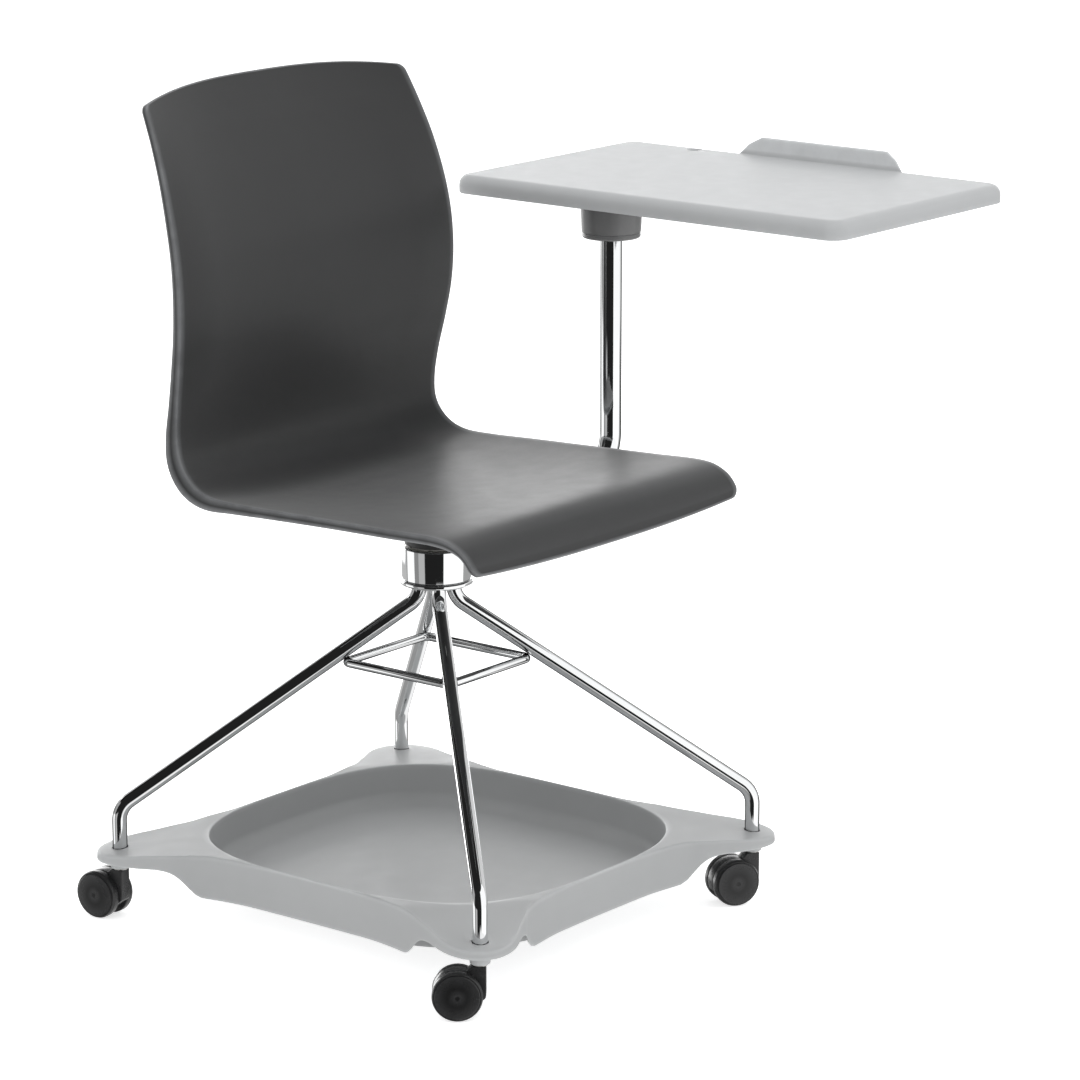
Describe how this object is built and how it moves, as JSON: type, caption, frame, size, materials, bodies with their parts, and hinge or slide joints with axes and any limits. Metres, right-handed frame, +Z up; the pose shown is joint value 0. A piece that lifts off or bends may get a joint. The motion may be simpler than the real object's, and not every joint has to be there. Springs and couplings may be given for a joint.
{
  "type": "student desk chair",
  "caption": "Swivel chair with a one-piece shell seat, chrome rod legs on a book tray with twin-wheel castors, and a writing tablet on an arm that turns about the seat hub.",
  "frame": {"origin": "on the floor under the middle of the chair's outline, tablet included", "axes": "+Z up; the chair faces -Y, so its user's left, where the tablet is, is +X"},
  "size_m": [0.8583, 0.6429, 0.8971],
  "materials": {
    "chrome": "polished",
    "charcoal_shell": "fine grained satin",
    "pale_tray": "fine grained satin",
    "pale_tablet": "fine grained satin",
    "grey_plastic": "satin",
    "black_plastic": "satin",
    "castor_tread": "semi-matt",
    "black_steel": "powder coated",
    "steel": "zinc plated",
    "nylon": "smooth"
  },
  "bodies": {
    "base": {"storage_tray": "pale_tray", "brace_ring": "chrome", "hub_bottom_ring": "chrome", "hub_cover": "chrome", "hub_core": "steel", "hub_bush": "nylon", "thrust_washer_lower": "nylon", "leg_front_right": "chrome", "castor_stem_front_right": "steel", "leg_front_left": "chrome", "castor_stem_front_left": "steel", "leg_rear_right": "chrome", "castor_stem_rear_right": "steel", "leg_rear_left": "chrome", "castor_stem_rear_left": "steel"},
    "seat": {"seat_shell": "charcoal_shell", "seat_plate": "black_steel", "spindle_flange": "black_steel", "spindle": "steel", "spindle_nut": "steel", "thrust_washer_upper": "nylon", "seat_screw_1": "steel", "seat_screw_2": "steel", "seat_screw_3": "steel", "seat_screw_4": "steel"},
    "arm": {"arm_collar": "black_steel", "arm_tube": "chrome", "post_plug": "black_plastic"},
    "tablet": {"tablet_top": "pale_tablet", "pivot_housing": "grey_plastic", "pivot_collar": "grey_plastic", "pivot_bush_lower": "nylon", "pivot_bush_upper": "nylon", "housing_screw_1": "steel", "housing_screw_2": "steel", "housing_screw_3": "steel", "housing_screw_4": "steel"},
    "castor_front_right": {"castor_hood_front_right": "black_plastic", "castor_axle_front_right": "steel"},
    "wheel_a_front_right": {"castor_wheel_a_front_right": "castor_tread"},
    "wheel_b_front_right": {"castor_wheel_b_front_right": "castor_tread"},
    "castor_front_left": {"castor_hood_front_left": "black_plastic", "castor_axle_front_left": "steel"},
    "wheel_a_front_left": {"castor_wheel_a_front_left": "castor_tread"},
    "wheel_b_front_left": {"castor_wheel_b_front_left": "castor_tread"},
    "castor_rear_right": {"castor_hood_rear_right": "black_plastic", "castor_axle_rear_right": "steel"},
    "wheel_a_rear_right": {"castor_wheel_a_rear_right": "castor_tread"},
    "wheel_b_rear_right": {"castor_wheel_b_rear_right": "castor_tread"},
    "castor_rear_left": {"castor_hood_rear_left": "black_plastic", "castor_axle_rear_left": "steel"},
    "wheel_a_rear_left": {"castor_wheel_a_rear_left": "castor_tread"},
    "wheel_b_rear_left": {"castor_wheel_b_rear_left": "castor_tread"}
  },
  "joints": [
    {"name": "seat_swivel", "type": "hinge", "parent": "base", "child": "seat", "pos_m": [-0.1508, 0.0206, 0.412], "axis": [0, 0, 1], "continuous": true},
    {"name": "arm_swivel", "type": "hinge", "parent": "seat", "child": "arm", "pos_m": [-0.1508, 0.0206, 0.422], "axis": [0, 0, -1], "range_deg": [-5, 180]},
    {"name": "tablet_swivel", "type": "hinge", "parent": "arm", "child": "tablet", "pos_m": [0.194, 0.0499, 0.722], "axis": [0, 0, 1], "range_deg": [-90, 75]},
    {"name": "castor_front_right_swivel", "type": "hinge", "parent": "base", "child": "castor_front_right", "pos_m": [-0.387, -0.2296, 0.047], "axis": [0, 0, 1], "continuous": true},
    {"name": "wheel_a_front_right_spin", "type": "hinge", "parent": "castor_front_right", "child": "wheel_a_front_right", "pos_m": [-0.40125, -0.21155, 0.0262], "axis": [-0.7848, -0.6198, 0], "continuous": true},
    {"name": "wheel_b_front_right_spin", "type": "hinge", "parent": "castor_front_right", "child": "wheel_b_front_right", "pos_m": [-0.40125, -0.21155, 0.0262], "axis": [-0.7848, -0.6198, 0], "continuous": true},
    {"name": "castor_front_left_swivel", "type": "hinge", "parent": "base", "child": "castor_front_left", "pos_m": [0.0854, -0.2296, 0.047], "axis": [0, 0, 1], "continuous": true},
    {"name": "wheel_a_front_left_spin", "type": "hinge", "parent": "castor_front_left", "child": "wheel_a_front_left", "pos_m": [0.06587, -0.21745, 0.0262], "axis": [-0.5284, -0.849, 0], "continuous": true},
    {"name": "wheel_b_front_left_spin", "type": "hinge", "parent": "castor_front_left", "child": "wheel_b_front_left", "pos_m": [0.06587, -0.21745, 0.0262], "axis": [-0.5284, -0.849, 0], "continuous": true},
    {"name": "castor_rear_right_swivel", "type": "hinge", "parent": "base", "child": "castor_rear_right", "pos_m": [-0.387, 0.2708, 0.047], "axis": [0, 0, 1], "continuous": true},
    {"name": "wheel_a_rear_right_spin", "type": "hinge", "parent": "castor_rear_right", "child": "wheel_a_rear_right", "pos_m": [-0.38868, 0.29374, 0.0262], "axis": [-0.9973, -0.0732, 0], "continuous": true},
    {"name": "wheel_b_rear_right_spin", "type": "hinge", "parent": "castor_rear_right", "child": "wheel_b_rear_right", "pos_m": [-0.38868, 0.29374, 0.0262], "axis": [-0.9973, -0.0732, 0], "continuous": true},
    {"name": "castor_rear_left_swivel", "type": "hinge", "parent": "base", "child": "castor_rear_left", "pos_m": [0.0854, 0.2708, 0.047], "axis": [0, 0, 1], "continuous": true},
    {"name": "wheel_a_rear_left_spin", "type": "hinge", "parent": "castor_rear_left", "child": "wheel_a_rear_left", "pos_m": [0.07678, 0.29213, 0.0262], "axis": [-0.9272, -0.3746, 0], "continuous": true},
    {"name": "wheel_b_rear_left_spin", "type": "hinge", "parent": "castor_rear_left", "child": "wheel_b_rear_left", "pos_m": [0.07678, 0.29213, 0.0262], "axis": [-0.9272, -0.3746, 0], "continuous": true}
  ]
}
